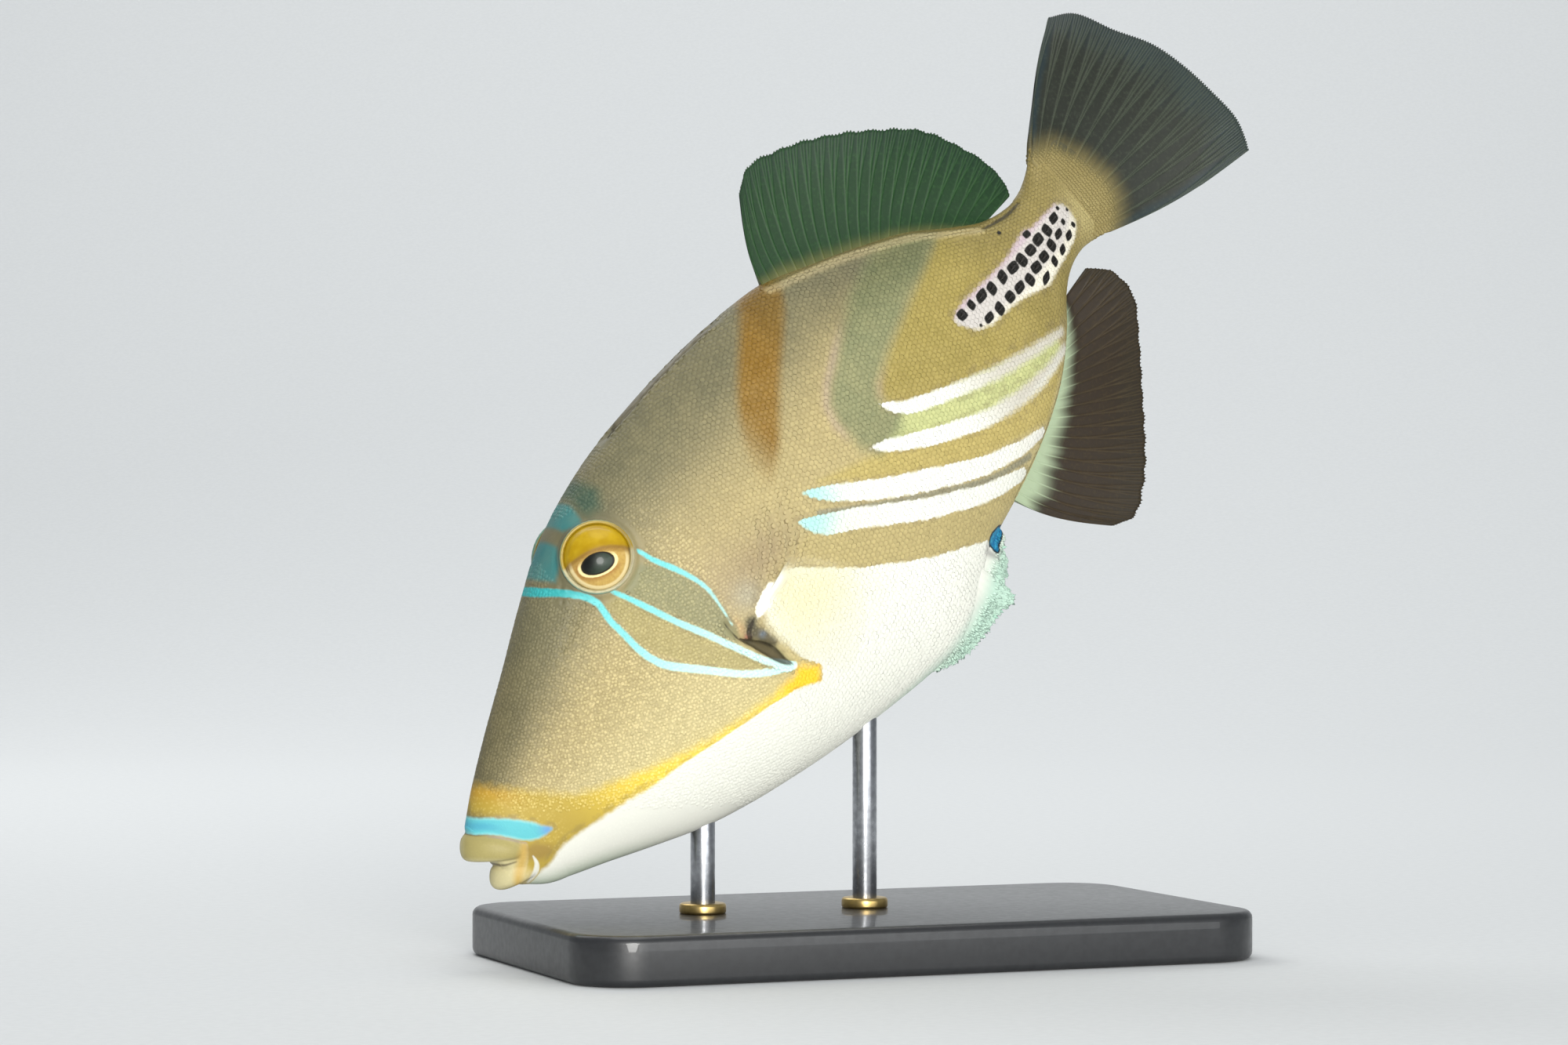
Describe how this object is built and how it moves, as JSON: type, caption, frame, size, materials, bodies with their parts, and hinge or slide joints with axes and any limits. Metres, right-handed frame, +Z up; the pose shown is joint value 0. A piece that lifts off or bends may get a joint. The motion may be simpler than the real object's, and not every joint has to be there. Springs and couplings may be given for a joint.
{
  "type": "picasso triggerfish",
  "caption": "Life-size picasso triggerfish swimming head down, with all fins spread, held by rods over a flat display base.",
  "frame": {"origin": "under the middle of the whole, on the surface that the stand's base rests on", "axes": "+Z up; the fish heads towards -X with its nose down; its left flank faces -Y"},
  "size_m": [0.1377, 0.066, 0.1575],
  "materials": {
    "skin": "satin",
    "stalk": "satin",
    "belly": "satin",
    "lips": "satin",
    "fins": "satin",
    "spines": "satin",
    "eyes": "gloss",
    "stand": "satin",
    "rods": "satin"
  },
  "bodies": {
    "root": {"head": "skin", "upper_lip": "lips", "lower_lip": "lips", "torso": "skin", "belly_flap": "belly", "tail_stalk": "stalk", "tail_fin": "fins", "dorsal_fin": "fins", "dorsal_spines": "spines", "anal_fin": "fins", "pectoral_fin_left": "fins", "pectoral_fin_right": "fins", "eye_left": "eyes", "eye_right": "eyes", "stand_base": "stand", "stand_rod_front": "rods", "stand_rod_rear": "rods"}
  },
  "joints": []
}
